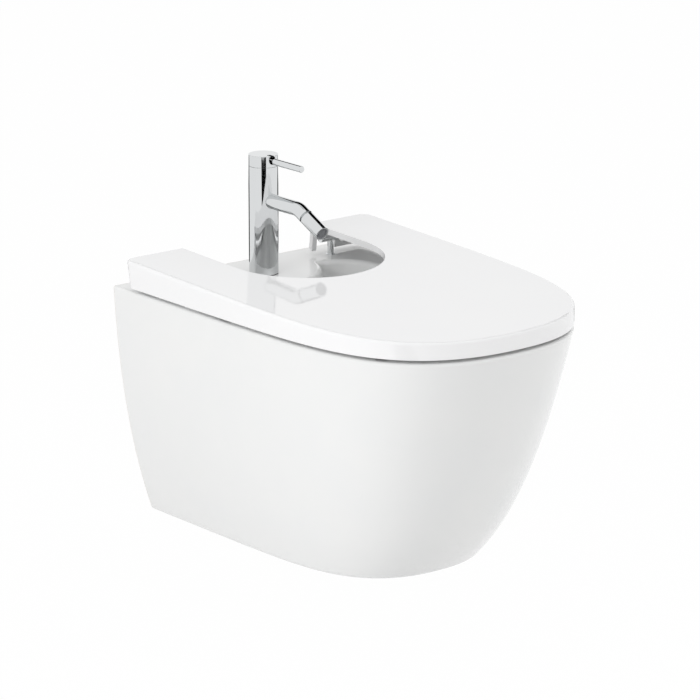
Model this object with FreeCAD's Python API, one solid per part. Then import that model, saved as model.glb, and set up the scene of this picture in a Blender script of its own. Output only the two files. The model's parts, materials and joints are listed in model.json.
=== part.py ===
import FreeCAD, Part
import math
import os

# Wall-hung bidet with a hinged cover and a single-lever tap. Millimetres, +Z up.
# The origin lies on the wall, midway between the two wall studs. The front looks along -Y.

V = FreeCAD.Vector
AXIS_X = V(1, 0, 0)
AXIS_Y = V(0, 1, 0)
AXIS_Z = V(0, 0, 1)

# Clearances
FIT_GAP = 0.05          # running and sliding fits, radial
FREE_GAP = 0.4          # pieces of different bodies that pass each other
PAST = 1.0              # cutting shapes run this far past a face
NEAR = 0.01             # tolerance when an edge is picked by its place

# Ceramic body
BODY_WIDTH = 366.0      # at the rim
BODY_LENGTH = 545.0     # wall to front, at the rim
BODY_HEIGHT = 301.0
FOOT_WIDTH = 256.0      # at the lower edge
FOOT_LENGTH = 408.0     # wall to front, at the lower edge
BODY_WALL = 11.0
FOOT_EDGE_R = 10.0
RIM_EDGE_R = 3.0
DECK_T = 18.0
FLANGE_T = 16.0         # wall flange at the rear
OUTLINE_LENGTHWISE = 6.8    # exponents of the plan outline
OUTLINE_CROSSWISE = 2.3
SIDE_SLOPE = 0.35       # straight share of the sides' draw-in
SIDE_CURVE = 2.5        # exponent of the rest of it
FRONT_SLOPE = 0.62      # straight share of the front's draw-in
FRONT_SWEEP = 0.17      # share of it that grows with the square
FRONT_TUCK = 6.0        # exponent of the rest of it

# Wall fixing
STUD_SPACING = 180.0
STUD_DROP = 90.0        # rim above the wall studs
STUD_BORE_D = 13.0      # clears an M12 stud
BUSH_D = 21.6
BUSH_COLLAR_D = 31.0
BUSH_COLLAR_T = 4.0
WALL_WASHER_D = 36.0
WALL_WASHER_T = 3.0

# Openings in the rear flange
WINDOW_WIDTH = 116.0    # between the wall studs
WINDOW_TOP = 34.0       # below the rim
FOOT_WINDOW_WIDTH = 190.0
FOOT_WINDOW_TOP = 138.0
FOOT_WINDOW_SILL = 24.0     # above the lower edge

# Basin
RIM_WIDTH = 42.0
BASIN_REAR = 60.0       # wall to the basin's rear edge
BASIN_WALL = 11.0
BASIN_FLOOR_T = 14.0
BASIN_FULLNESS = 2.6
BASIN_WIDEST = 0.42     # share of the basin's length behind its widest place
BASIN_REAR_SQUARE = 5.0
BASIN_FRONT_SQUARE = 2.6
BASIN_EDGE_R = 6.0
WASTE_SEAT_R = 37.0
WASTE_Y = 265.0         # wall to the waste's axis

# Tap platform
TAP_Y = 66.0            # wall to the tap's axis
PLATFORM_Y = 35.0       # wall to its axis
PLATFORM_R = 91.0
PLATFORM_DRAFT = 22.0   # growth of its radius down to the basin's floor
TAP_HOLE_D = 32.0

# Cover
COVER_GAP = 4.6         # above the rim
COVER_REAR = 27.0       # wall to the cover's rear end
COVER_REAR_H = 42.0     # top above the rim, at the rear
COVER_FRONT_H = 23.5
COVER_BOW = 0.6         # rise of the top between its ends
COVER_FLARE = 9.0       # sides lean outwards by this much at the rear's height
COVER_LEAN = 8.0        # front leans back by this much at the rear's height
COVER_TILT = 5.0        # rear leans forward by this much
COVER_PLATE_T = 8.0
COVER_SKIRT_T = 6.0
COVER_EDGE_R = 3.5
COVER_CORNER_R = 14.0
COVER_ARM = 81.0        # body's side to the cut-out
CUTOUT_DEPTH = 245.0    # wall to the cut-out's front

# Cover hinge
HINGE_INSET = 59.0      # body's side to the hinge post
HINGE_Y = 44.0          # wall to the hinge axis
HINGE_RISE = 22.0       # hinge axis above the rim
NOSE_CLEARANCE = 1.0    # cover's rear end over the rim while it turns
POST_D = 8.0
POST_FLANGE_D = 11.8
POST_FLANGE_T = 0.8
BARREL_D = 9.0
BARREL_LENGTH = 34.0
SPIGOT_D = 6.0
SPIGOT_LENGTH = 23.0
POST_SHANK_D = 5.0
DAMPER_D = 11.0
DAMPER_LENGTH = 24.0
BOSS_WALL = 2.4
BOSS_ROOT = 2.0         # web's depth in the cover's plate
POST_NOTCH = 30.0       # width cut out of the cover's rear wall for the post
HINGE_HOLE_D = 10.6
SLEEVE_D = 10.2
SLEEVE_LENGTH = 31.0
CONE_NUT_LENGTH = 8.0
CONE_NUT_TAPER = 1.0

# Cover bumpers
BUMPER_D = 14.0
BUMPER_H = 6.0
BUMPER_EDGE_R = 1.5
BUMPER_PILLAR_D = 16.0
BUMPER_FROM_WALL = 200.0
BUMPER_FROM_FRONT = 85.0

# Tap
TAP_D = 37.0
TAP_HEIGHT = 152.0
CAP_H = 14.0
TAP_SEAL_T = 1.0
TAP_SEAL_INSET = 0.5
SHELL_T = 4.0
TAP_FLOOR_Z = 68.7
TAP_FLOOR_T = 14.0
INLET_D = 10.0          # M10 hose thread
THREAD_DEPTH = 11.0     # in the tap's floor
INLET_SPACING = 13.0
INLET_BACK = 4.0
STUD_D = 6.0
STUD_FORWARD = 9.0
STUD_LENGTH = 124.0

# Cartridge
CARTRIDGE_D = 26.0
CARTRIDGE_Z = 86.7
CARTRIDGE_H = 38.0
CARTRIDGE_WALL = 2.0
CARTRIDGE_BASE_T = 19.0
DISC_D = 21.8
DISC_T = 3.5
SLIDER_D = 14.0
SLIDER_T = 5.4
PASSAGE_D = 5.0
PASSAGE_SEAL_D = 9.0
MIXED_FORWARD = 4.5     # tap's axis to the mixed water's passage
MIXED_D = 6.0           # passage on to the spout
PIVOT_ABOVE_SLIDER = 14.0
PIVOT_PIN_D = 3.0
PIVOT_PIN_INSET = 0.5
STEM_D = 6.8
STEM_BALL_D = 5.2
STEM_NECK_D = 4.0
CARRIER_NECK_D = 17.6
CARRIER_NECK_H = 8.4
CARRIER_SLOT = 15.2
NUT_D = 29.2
NUT_BORE_D = 18.4
NUT_COLLAR_WALL = 3.0
NUT_COLLAR_H = 3.8
NUT_LIP_T = 5.0
CAP_WALL = 2.95
CAP_TOP_T = 1.2
CAP_EDGE_R = 0.4

# Lever
LEVER_D = 8.4
LEVER_LENGTH = 77.0     # tap's axis to the lever's end
LEVER_BELOW_TOP = 6.2
LEVER_NECK_D = 4.4
LEVER_TIP_R = 0.8
LEVER_LIFT_DEG = 12.0
LEVER_SLOT = 9.0
STEM_HEAD_D = 10.0
STEM_HEAD_BELOW = 6.0   # stem head below and above the lever's axis
STEM_HEAD_ABOVE = 3.0
GRUB_D = 3.0
GRUB_INSET = 0.5

# Spout and swivel aerator
SPOUT_D = 18.5
SPOUT_BORE_D = 9.0
SPOUT_Z = 94.8          # centre line above the deck
SPOUT_REACH = 71.0      # tap's axis to the bend
SPOUT_BEND_R = 20.0
SPOUT_DROP_DEG = 26.0
BALL_FROM_BEND = 17.0
BALL_D = 13.0
BALL_BORE_D = 5.0
SWIVEL_GROOVE = 2.8
AERATOR_LENGTH = 32.5
AERATOR_POCKET_D = 15.4
AERATOR_INSERT_L = 12.0
AERATOR_SEAL_T = 2.0
AERATOR_HOLE_D = 2.4
AERATOR_HOLES = 8       # in a ring round the middle one
AERATOR_RING_R = 4.8
AERATOR_RECESS = 1.0
AERATOR_THROAT_D = 7.0

# Tap clamp under the deck
CLAMP_D = 50.0
CLAMP_BORE_D = 30.0
CLAMP_SLOT = 20.0
CLAMP_PAD_T = 3.0
CLAMP_PLATE_T = 3.0
STUD_NUT_AF = 10.0
STUD_NUT_H = 14.0

# Waste
WASTE_HOLE_D = 45.0
WASTE_FLANGE_D = 63.0
WASTE_FLANGE_T = 3.0
WASTE_TAIL_D = 42.0
WASTE_BORE_D = 32.0
WASTE_TAIL_LENGTH = 58.0
WASTE_SEAL_T = 1.5
WASTE_SEAL_D = 61.0
WASTE_EDGE_R = 1.2
PLUG_D = 60.0
PLUG_T = 5.0
PLUG_EDGE_R = 3.5
SPINDLE_D = 8.0
SPINDLE_LENGTH = 44.0
GUIDE_DEPTH = 24.0
GUIDE_T = 8.0
GASKET_D = 62.0
GASKET_T = 5.0
BACK_NUT_AF = 66.0
BACK_NUT_H = 10.0

# Trap
PIPE_D = 32.0
PIPE_WALL = 2.0
INLET_NUT_D = 52.0
INLET_NUT_H = 16.0
TUBE_COLLAR_D = 40.0
TUBE_COLLAR_T = 3.0
BOTTLE_D = 60.0
BOTTLE_WALL = 3.0
BOTTLE_H = 54.0
BOTTLE_BELOW_TAIL = 21.5     # waste's tail end to the bottle
TRAP_CLEARANCE = 7.0    # cup above the body's floor
CUP_WALL = 3.0
CUP_H = 34.0
CUP_OVERLAP = 12.0
CUP_SEAL_T = 2.0
DIP_LENGTH = 66.0
OUTLET_DEPTH = 21.0     # below the bottle's top
OUTLET_BOSS_D = 40.0
OUTLET_BOSS_L = 20.0
OUTLET_STOP = 5.0       # bottle's wall to the pipe's stop in the boss
OUTLET_NUT_D = 50.0
OUTLET_NUT_L = 16.0
OUTLET_NUT_LIP = 2.0
OUTLET_SEAL_T = 4.0
PIPE_END = 1.0          # pipe's end in front of the wall plane
PIPE_SPIGOT_D = 31.6    # narrowed end for the wall socket
PIPE_SPIGOT_L = 45.0

RIM_Z = STUD_DROP
TRAP_H = BOTTLE_H + CUP_H - CUP_OVERLAP
BOTTLE_TOP = BODY_HEIGHT - BODY_WALL - TRAP_CLEARANCE - TRAP_H     # depths below the rim
TAIL_END = BOTTLE_TOP - BOTTLE_BELOW_TAIL
BASIN_DEPTH = TAIL_END - WASTE_TAIL_LENGTH + WASTE_SEAL_T
HINGE_X = BODY_WIDTH / 2 - HINGE_INSET
NOSE_R = HINGE_RISE - NOSE_CLEARANCE
HINGE_Z = RIM_Z + HINGE_RISE
TAP_AXIS = V(0, -TAP_Y, 0)


def below(depth):
    """Height of a place that lies so far below the rim."""
    return RIM_Z - depth


def cylinder(diameter, length, start, along=AXIS_Z):
    return Part.makeCylinder(diameter / 2, length, start, along)


def tube(outer_d, inner_d, length, start, along=AXIS_Z):
    bore = cylinder(inner_d, length + 2 * PAST, start - along * PAST, along)
    return cylinder(outer_d, length, start, along).cut(bore)


def box(low, high):
    return Part.makeBox(high.x - low.x, high.y - low.y, high.z - low.z, low)


def hexagon(flats, length, start):
    corner = flats / math.sqrt(3)
    points = [V(corner * math.cos(math.pi * k / 3), corner * math.sin(math.pi * k / 3), 0) for k in range(7)]
    face = Part.Face(Part.makePolygon(points))
    prism = face.extrude(V(0, 0, length))
    prism.translate(start)
    return prism


def mirrored(shape):
    return shape.mirror(V(0, 0, 0), AXIS_X)


def pair(shape):
    """A piece and its mirror image on the other side of the middle plane."""
    return Part.makeCompound([shape, mirrored(shape)])


def edges_where(shape, test):
    return [edge for edge in shape.Edges if test(edge)]


# Plan outline shared by the body and the cover

OUTLINE_STEPS = 9


def outline_half(distance, half, front):
    """Half width of the plan outline at a distance from the wall."""
    share = min(max(distance / front, 0.0), 1.0)
    return half * (1 - share ** OUTLINE_LENGTHWISE) ** (1 / OUTLINE_CROSSWISE)


def outline_wire(half, front, rear, z):
    points = []
    for step in range(-OUTLINE_STEPS, OUTLINE_STEPS + 1):
        reach = math.cos(math.pi / 2 * step / OUTLINE_STEPS)
        distance = rear + (front - rear) * reach
        side = math.copysign(1, step) if step else 0
        points.append(V(side * outline_half(distance, half, front), -distance, z))
    curve = Part.BSplineCurve()
    curve.interpolate(points)
    return Part.Wire([curve.toShape(), Part.makeLine(points[-1], points[0])])


# Ceramic body

BODY_LEVELS = (0.0, 0.15, 0.3, 0.45, 0.6, 0.75, 0.88, 1.0)


def body_half(share):
    inward = SIDE_SLOPE * share + (1 - SIDE_SLOPE) * share ** SIDE_CURVE
    return (BODY_WIDTH - (BODY_WIDTH - FOOT_WIDTH) * inward) / 2


def body_front(share):
    tuck = 1 - FRONT_SLOPE - FRONT_SWEEP
    inward = FRONT_SLOPE * share + FRONT_SWEEP * share ** 2 + tuck * share ** FRONT_TUCK
    return BODY_LENGTH - (BODY_LENGTH - FOOT_LENGTH) * inward


def body_loft(inset, top, bottom, rear):
    """The body's outer form between two depths below the rim, drawn in by an inset."""
    wires = []
    for level in BODY_LEVELS:
        depth = top + (bottom - top) * level
        share = depth / BODY_HEIGHT
        wires.append(outline_wire(body_half(share) - inset, body_front(share) - inset, rear, below(depth)))
    return Part.makeLoft(wires, True, False)


# Basin

BASIN_LEVELS = (0.0, 0.2, 0.45, 0.7, 0.88, 0.97, 1.0)
BASIN_STEPS = 14


def basin_wire(half, rear, front, z):
    widest = rear + (front - rear) * BASIN_WIDEST
    points = []
    for step in range(2 * BASIN_STEPS):
        angle = math.pi * step / BASIN_STEPS
        to_front = math.sin(angle) >= 0
        power = 2 / (BASIN_FRONT_SQUARE if to_front else BASIN_REAR_SQUARE)
        reach = front - widest if to_front else rear - widest
        x = half * math.copysign(abs(math.cos(angle)) ** power, math.cos(angle))
        points.append(V(x, -widest - reach * abs(math.sin(angle)) ** power, z))
    curve = Part.BSplineCurve()
    curve.interpolate(points, PeriodicFlag=True)
    return Part.Wire([curve.toShape()])


def basin_loft(grow, floor_t):
    """The basin's hollow, or with a growth and a floor the ceramic that surrounds it."""
    half = BODY_WIDTH / 2 - RIM_WIDTH
    front = BODY_LENGTH - RIM_WIDTH
    wires = []
    for level in BASIN_LEVELS:
        open_share = (1 - level ** BASIN_FULLNESS) ** (1 / BASIN_FULLNESS)
        level_half = WASTE_SEAT_R + (half - WASTE_SEAT_R) * open_share
        level_front = WASTE_Y + WASTE_SEAT_R + (front - WASTE_Y - WASTE_SEAT_R) * open_share
        level_rear = WASTE_Y - WASTE_SEAT_R - (WASTE_Y - WASTE_SEAT_R - BASIN_REAR) * open_share
        z = below((BASIN_DEPTH + floor_t) * level)
        wires.append(basin_wire(level_half + grow, level_rear - grow, level_front + grow, z))
    return Part.makeLoft(wires, True, False)


def platform(shrink, depth):
    """The column under the tap, widening downwards."""
    radius = PLATFORM_R - shrink
    return Part.makeCone(radius + PLATFORM_DRAFT, radius, depth, V(0, -PLATFORM_Y, below(depth)))


def rear_windows():
    past = FLANGE_T + PAST
    sill = below(BODY_HEIGHT - FOOT_WINDOW_SILL)
    middle = box(V(-WINDOW_WIDTH / 2, -past, sill), V(WINDOW_WIDTH / 2, PAST, below(WINDOW_TOP)))
    lower = box(V(-FOOT_WINDOW_WIDTH / 2, -past, sill),
                V(FOOT_WINDOW_WIDTH / 2, PAST, below(FOOT_WINDOW_TOP)))
    return middle.fuse(lower)


def ceramic_bowl():
    body = body_loft(0, 0, BODY_HEIGHT, -PAST)
    lowest = below(BODY_HEIGHT)
    top = edges_where(body, lambda e: abs(e.BoundBox.ZMin - RIM_Z) < NEAR and e.BoundBox.YLength > PAST)
    foot = edges_where(body, lambda e: abs(e.BoundBox.ZMax - lowest) < NEAR and e.BoundBox.YLength > PAST)
    body = body.makeFillet(RIM_EDGE_R, top).makeFillet(FOOT_EDGE_R, foot)
    behind_wall = box(V(-BODY_WIDTH, 0, lowest - PAST), V(BODY_WIDTH, 2 * PAST, RIM_Z + PAST))
    body = body.cut(behind_wall)
    basin = basin_loft(0, 0).cut(platform(0, BASIN_DEPTH + PAST))
    floor_depth = BASIN_DEPTH + BASIN_FLOOR_T
    basin_wall = basin_loft(BASIN_WALL, BASIN_FLOOR_T).cut(platform(BASIN_WALL, floor_depth + PAST))
    hollow = body_loft(BODY_WALL, DECK_T, BODY_HEIGHT - BODY_WALL, FLANGE_T).cut(basin_wall)
    bowl = body.cut(basin)
    lip = edges_where(bowl, lambda e: abs(e.BoundBox.ZMin - RIM_Z) < NEAR and e.BoundBox.ZLength < NEAR
                      and e.BoundBox.YMax < -BASIN_REAR + PAST)
    bowl = bowl.makeFillet(BASIN_EDGE_R, lip)
    bowl = bowl.cut(hollow).cut(rear_windows())
    bowl = bowl.cut(cylinder(TAP_HOLE_D, DECK_T + 2 * PAST, TAP_AXIS + V(0, 0, below(DECK_T + PAST))))
    under_waste = V(0, -WASTE_Y, below(floor_depth + PAST))
    bowl = bowl.cut(cylinder(WASTE_HOLE_D, BASIN_FLOOR_T + 2 * PAST, under_waste))
    hinge_depth = POST_FLANGE_T + SLEEVE_LENGTH + CONE_NUT_LENGTH
    hinge_hole = cylinder(HINGE_HOLE_D, hinge_depth, V(HINGE_X, -HINGE_Y, below(hinge_depth)))
    stud_start = V(STUD_SPACING / 2, -FLANGE_T - PAST, 0)
    stud_hole = cylinder(BUSH_D + 4 * FIT_GAP, FLANGE_T + 2 * PAST, stud_start, AXIS_Y)
    return bowl.cut(pair(hinge_hole)).cut(pair(stud_hole))


def wall_bushes():
    start = V(STUD_SPACING / 2, -FLANGE_T - BUSH_COLLAR_T, 0)
    collar = cylinder(BUSH_COLLAR_D, BUSH_COLLAR_T, start, AXIS_Y)
    spigot = cylinder(BUSH_D, FLANGE_T + BUSH_COLLAR_T, start, AXIS_Y)
    bore = cylinder(STUD_BORE_D, FLANGE_T + BUSH_COLLAR_T + 2 * PAST, start - AXIS_Y * PAST, AXIS_Y)
    return pair(collar.fuse(spigot).cut(bore))


def wall_washers():
    start = V(STUD_SPACING / 2, -FLANGE_T - BUSH_COLLAR_T - WALL_WASHER_T, 0)
    return pair(tube(WALL_WASHER_D, STUD_BORE_D, WALL_WASHER_T, start, AXIS_Y))


# Cover

def cover_profile(top_drop, rear, base, rounded):
    """Side view of the cover, drawn across its width: bowed top, and a round rear nose or a plain rear."""
    reach = BODY_LENGTH + 10 * PAST
    half = BODY_WIDTH / 2 + COVER_FLARE + 10 * PAST
    front_top = RIM_Z + COVER_FRONT_H - top_drop
    front_end = V(-half, -reach, front_top)
    rear_end = V(-half, PAST - rear, RIM_Z + COVER_REAR_H - top_drop)
    middle = (front_end + rear_end) / 2 + V(0, 0, 2 * COVER_BOW)
    top = Part.BezierCurve()
    top.setPoles([front_end, middle, rear_end])
    edges = [top.toShape()]
    if rounded:
        start_angle = -math.acos((HINGE_Y - rear + PAST) / NOSE_R)
        foot_angle = -math.asin((HINGE_Z - base) / NOSE_R)
        angles = (start_angle, (start_angle + foot_angle) / 2, foot_angle)
        nose = [V(-half, NOSE_R * math.cos(a) - HINGE_Y, HINGE_Z + NOSE_R * math.sin(a)) for a in angles]
        edges.append(Part.makeLine(rear_end, nose[0]))
        edges.append(Part.Arc(*nose).toShape())
        foot = nose[-1]
    else:
        foot = V(-half, PAST - rear, base)
        edges.append(Part.makeLine(rear_end, foot))
    front_foot = V(-half, -reach, base)
    edges.append(Part.makeLine(foot, front_foot))
    edges.append(Part.makeLine(front_foot, front_end))
    return Part.Face(Part.Wire(edges)).extrude(V(2 * half, 0, 0))


def cover_plan(inset, rear):
    """The cover's plan outline as a block, its sides leaning out and its two ends leaning in."""
    half = BODY_WIDTH / 2 - inset
    front = BODY_LENGTH - inset
    foot = outline_wire(half, front, rear, RIM_Z)
    top_z = RIM_Z + COVER_REAR_H + PAST
    top = outline_wire(half + COVER_FLARE, front - COVER_LEAN, rear + COVER_TILT, top_z)
    block = Part.makeLoft([foot, top], True, True)
    corners = edges_where(block, lambda e: e.BoundBox.ZLength > COVER_REAR_H
                          and e.BoundBox.YMin > -rear - COVER_TILT - PAST)
    return block.makeFillet(COVER_CORNER_R - inset, corners)


def cutout():
    half = BODY_WIDTH / 2 - COVER_ARM
    front = CUTOUT_DEPTH - half
    arms = box(V(-half, -front, RIM_Z - PAST), V(half, 0, RIM_Z + COVER_REAR_H + PAST))
    return arms.fuse(cylinder(2 * half, COVER_REAR_H + 2 * PAST, V(0, -front, RIM_Z - PAST)))


def hinge_boss():
    """Housing of the damper, hung from the cover's plate and joined to its skirt."""
    start = HINGE_X + BARREL_LENGTH / 2 + FREE_GAP
    end = BODY_WIDTH / 2 + COVER_FLARE
    outer = DAMPER_D + 2 * BOSS_WALL
    barrel = cylinder(outer, end - start, V(start, -HINGE_Y, HINGE_Z), AXIS_X)
    web_top = RIM_Z + COVER_REAR_H - COVER_PLATE_T + BOSS_ROOT
    web = box(V(start, -HINGE_Y - outer / 2, HINGE_Z), V(end, -HINGE_Y + outer / 4, web_top))
    bore = cylinder(DAMPER_D + 2 * FIT_GAP, DAMPER_LENGTH + FREE_GAP, V(start, -HINGE_Y, HINGE_Z), AXIS_X)
    return barrel.fuse(web).cut(bore).common(cover_plan(COVER_SKIRT_T / 2, COVER_REAR))


def bumper_places():
    places = (BUMPER_FROM_WALL, BODY_LENGTH - BUMPER_FROM_FRONT)
    return [(outline_half(y, BODY_WIDTH / 2, BODY_LENGTH) - RIM_WIDTH / 2, y) for y in places]


def cover():
    shell = cover_plan(0, COVER_REAR).common(cover_profile(0, COVER_REAR, RIM_Z + COVER_GAP, True))
    crown_z = RIM_Z + COVER_FRONT_H - PAST
    crown = edges_where(shell, lambda e: e.BoundBox.ZMin > crown_z and e.BoundBox.ZLength < COVER_REAR_H)
    shell = shell.makeFillet(COVER_EDGE_R, crown)
    inner_rear = COVER_REAR + COVER_SKIRT_T
    hollow = cover_profile(COVER_PLATE_T, inner_rear, RIM_Z - PAST, False)
    shell = shell.cut(cover_plan(COVER_SKIRT_T, inner_rear).common(hollow)).cut(cutout())
    notch = box(V(HINGE_X - POST_NOTCH / 2, -inner_rear - COVER_TILT - PAST, RIM_Z),
                V(HINGE_X + POST_NOTCH / 2, 0, HINGE_Z + BARREL_D))
    shell = shell.cut(pair(notch)).fuse(pair(hinge_boss()))
    plate = cover_profile(COVER_PLATE_T / 2, COVER_REAR, RIM_Z, False)
    for x, y in bumper_places():
        foot = V(x, -y, RIM_Z + FREE_GAP + BUMPER_H)
        pillar = cylinder(BUMPER_PILLAR_D, COVER_REAR_H, foot)
        pillar.rotate(foot, AXIS_Z, 45)
        shell = shell.fuse(pair(pillar.common(plate)))
    return shell.removeSplitter()


def cover_bumpers():
    bumpers = []
    for x, y in bumper_places():
        bumper = cylinder(BUMPER_D, BUMPER_H, V(x, -y, RIM_Z + FREE_GAP))
        rim = edges_where(bumper, lambda e: abs(e.BoundBox.ZMax - RIM_Z - FREE_GAP) < NEAR)
        bumper = bumper.makeFillet(BUMPER_EDGE_R, rim)
        bumpers.extend([bumper, mirrored(bumper)])
    return Part.makeCompound(bumpers)


# Cover hinge

def hinge_post():
    base = V(HINGE_X, -HINGE_Y, RIM_Z)
    flange = cylinder(POST_FLANGE_D, POST_FLANGE_T, base)
    post = cylinder(POST_D, HINGE_Z - RIM_Z, base)
    barrel = cylinder(BARREL_D, BARREL_LENGTH, V(HINGE_X - BARREL_LENGTH / 2, -HINGE_Y, HINGE_Z), AXIS_X)
    spigot = cylinder(SPIGOT_D, SPIGOT_LENGTH, V(HINGE_X + BARREL_LENGTH / 2, -HINGE_Y, HINGE_Z), AXIS_X)
    shank_length = SLEEVE_LENGTH + CONE_NUT_LENGTH
    shank = cylinder(POST_SHANK_D, shank_length, base - V(0, 0, shank_length))
    return flange.fuse([post, barrel, spigot, shank]).removeSplitter()


def hinge_damper():
    start = HINGE_X + BARREL_LENGTH / 2 + FREE_GAP
    return tube(DAMPER_D, SPIGOT_D + 2 * FIT_GAP, DAMPER_LENGTH, V(start, -HINGE_Y, HINGE_Z), AXIS_X)


def hinge_sleeves():
    start = V(HINGE_X, -HINGE_Y, below(SLEEVE_LENGTH))
    return pair(tube(SLEEVE_D, POST_SHANK_D, SLEEVE_LENGTH, start))


def hinge_cone_nuts():
    start = V(HINGE_X, -HINGE_Y, below(SLEEVE_LENGTH + CONE_NUT_LENGTH))
    nut = Part.makeCone(SLEEVE_D / 2, SLEEVE_D / 2 - CONE_NUT_TAPER, CONE_NUT_LENGTH, start)
    return pair(nut.cut(cylinder(POST_SHANK_D, CONE_NUT_LENGTH + 2 * PAST, start - AXIS_Z * PAST)))


# Tap: all heights here are measured from the deck

BODY_TOP = TAP_HEIGHT - CAP_H - FREE_GAP
BORE_D = CARTRIDGE_D + 2 * FIT_GAP
CARTRIDGE_TOP = CARTRIDGE_Z + CARTRIDGE_H
SLIDER_Z = CARTRIDGE_Z + CARTRIDGE_BASE_T + DISC_T + FIT_GAP
PIVOT_Z = SLIDER_Z + SLIDER_T + PIVOT_ABOVE_SLIDER
LEVER_Z = TAP_HEIGHT - LEVER_BELOW_TOP
LEVER_NECK_END = STEM_HEAD_D / 4     # neck's end behind the tap's axis
LIFT = math.radians(LEVER_LIFT_DEG)
ROD_ABOVE_PIVOT = LEVER_Z + LEVER_D / 2 - PIVOT_Z
LEVER_ROOT = (TAP_D / 2 + FREE_GAP + ROD_ABOVE_PIVOT * math.sin(LIFT)) / math.cos(LIFT)  # clears the cap
DOWN = math.radians(SPOUT_DROP_DEG)
NOZZLE = V(0, -math.cos(DOWN), -math.sin(DOWN))


def at_tap(x, forward, height):
    """Place beside the tap's axis, so far forward of it and above the deck."""
    return V(x, -TAP_Y - forward, RIM_Z + height)


BALL_CENTRE = at_tap(0, SPOUT_REACH, SPOUT_Z) + NOZZLE * BALL_FROM_BEND


def tap_body():
    body = cylinder(TAP_D, BODY_TOP - TAP_SEAL_T, at_tap(0, 0, TAP_SEAL_T))
    body = body.cut(cylinder(TAP_D - 2 * SHELL_T, TAP_FLOOR_Z, at_tap(0, 0, 0)))
    floor_top = TAP_FLOOR_Z + TAP_FLOOR_T
    body = body.cut(cylinder(BORE_D, BODY_TOP, at_tap(0, 0, floor_top)))
    body = body.cut(cylinder(NUT_D + 2 * FIT_GAP, BODY_TOP, at_tap(0, 0, CARTRIDGE_TOP)))
    body = body.cut(cylinder(SPOUT_D + 2 * FIT_GAP, TAP_D, at_tap(0, BORE_D / 2 - PAST, SPOUT_Z), -AXIS_Y))
    for side in (-1, 1):
        inlet = at_tap(side * INLET_SPACING / 2, -INLET_BACK, TAP_FLOOR_Z)
        body = body.cut(cylinder(INLET_D, THREAD_DEPTH, inlet))
        body = body.cut(cylinder(PASSAGE_D, TAP_FLOOR_T + PAST, inlet))
    return body.cut(cylinder(STUD_D, THREAD_DEPTH, at_tap(0, STUD_FORWARD, TAP_FLOOR_Z)))


def tap_base_seal():
    bore = TAP_D - 2 * SHELL_T + 2 * TAP_SEAL_INSET
    return tube(TAP_D - 2 * TAP_SEAL_INSET, bore, TAP_SEAL_T, at_tap(0, 0, 0))


def spout_centre_line():
    bend = at_tap(0, SPOUT_REACH, SPOUT_Z)
    set_back = SPOUT_BEND_R * math.tan(DOWN / 2)
    root = at_tap(0, BORE_D / 2 + FREE_GAP, SPOUT_Z)
    level_end = bend + V(0, set_back, 0)
    drop_start = bend + NOZZLE * set_back
    centre = level_end - V(0, 0, SPOUT_BEND_R)
    middle = centre + V(0, -math.sin(DOWN / 2), math.cos(DOWN / 2)) * SPOUT_BEND_R
    arc = Part.Arc(level_end, middle, drop_start).toShape()
    end = BALL_CENTRE - NOZZLE * (SWIVEL_GROOVE / 2)
    return Part.Wire([Part.makeLine(root, level_end), arc, Part.makeLine(drop_start, end)])


def round_sweep(path, diameter):
    start = path.Vertexes[0].Point
    ring = Part.Wire(Part.makeCircle(diameter / 2, start, -AXIS_Y))
    return path.makePipeShell([ring], True, False)


def ball_socket():
    return Part.makeSphere(BALL_D / 2 + FIT_GAP, BALL_CENTRE)


def spout():
    path = spout_centre_line()
    return round_sweep(path, SPOUT_D).cut(round_sweep(path, SPOUT_BORE_D)).cut(ball_socket())


def swivel_ball():
    ball = Part.makeSphere(BALL_D / 2, BALL_CENTRE)
    return ball.cut(cylinder(BALL_BORE_D, 2 * BALL_D, BALL_CENTRE - NOZZLE * BALL_D, NOZZLE))


def aerator_place(along):
    return BALL_CENTRE + NOZZLE * (SWIVEL_GROOVE / 2 + along)


def aerator_housing():
    housing = cylinder(SPOUT_D, AERATOR_LENGTH, aerator_place(0), NOZZLE)
    housing = housing.cut(ball_socket())
    housing = housing.cut(cylinder(AERATOR_THROAT_D, AERATOR_LENGTH, aerator_place(0), NOZZLE))
    pocket = AERATOR_INSERT_L + AERATOR_SEAL_T
    mouth = aerator_place(AERATOR_LENGTH - pocket)
    return housing.cut(cylinder(AERATOR_POCKET_D, pocket + PAST, mouth, NOZZLE))


def aerator_seal():
    start = aerator_place(AERATOR_LENGTH - AERATOR_INSERT_L - AERATOR_SEAL_T)
    return tube(AERATOR_POCKET_D - 2 * FIT_GAP, AERATOR_THROAT_D, AERATOR_SEAL_T, start, NOZZLE)


def aerator_insert():
    start = aerator_place(AERATOR_LENGTH - AERATOR_INSERT_L)
    insert = cylinder(AERATOR_POCKET_D - 2 * FIT_GAP, AERATOR_INSERT_L - AERATOR_RECESS, start, NOZZLE)
    up = V(0, -NOZZLE.z, NOZZLE.y)
    hole = cylinder(AERATOR_HOLE_D, AERATOR_INSERT_L + 2 * PAST, start - NOZZLE * PAST, NOZZLE)
    insert = insert.cut(hole)
    for step in range(AERATOR_HOLES):
        angle = 2 * math.pi * step / AERATOR_HOLES
        offset = AXIS_X * math.cos(angle) + up * math.sin(angle)
        insert = insert.cut(hole.translated(offset * AERATOR_RING_R))
    return insert


# Cartridge and lever

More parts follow.
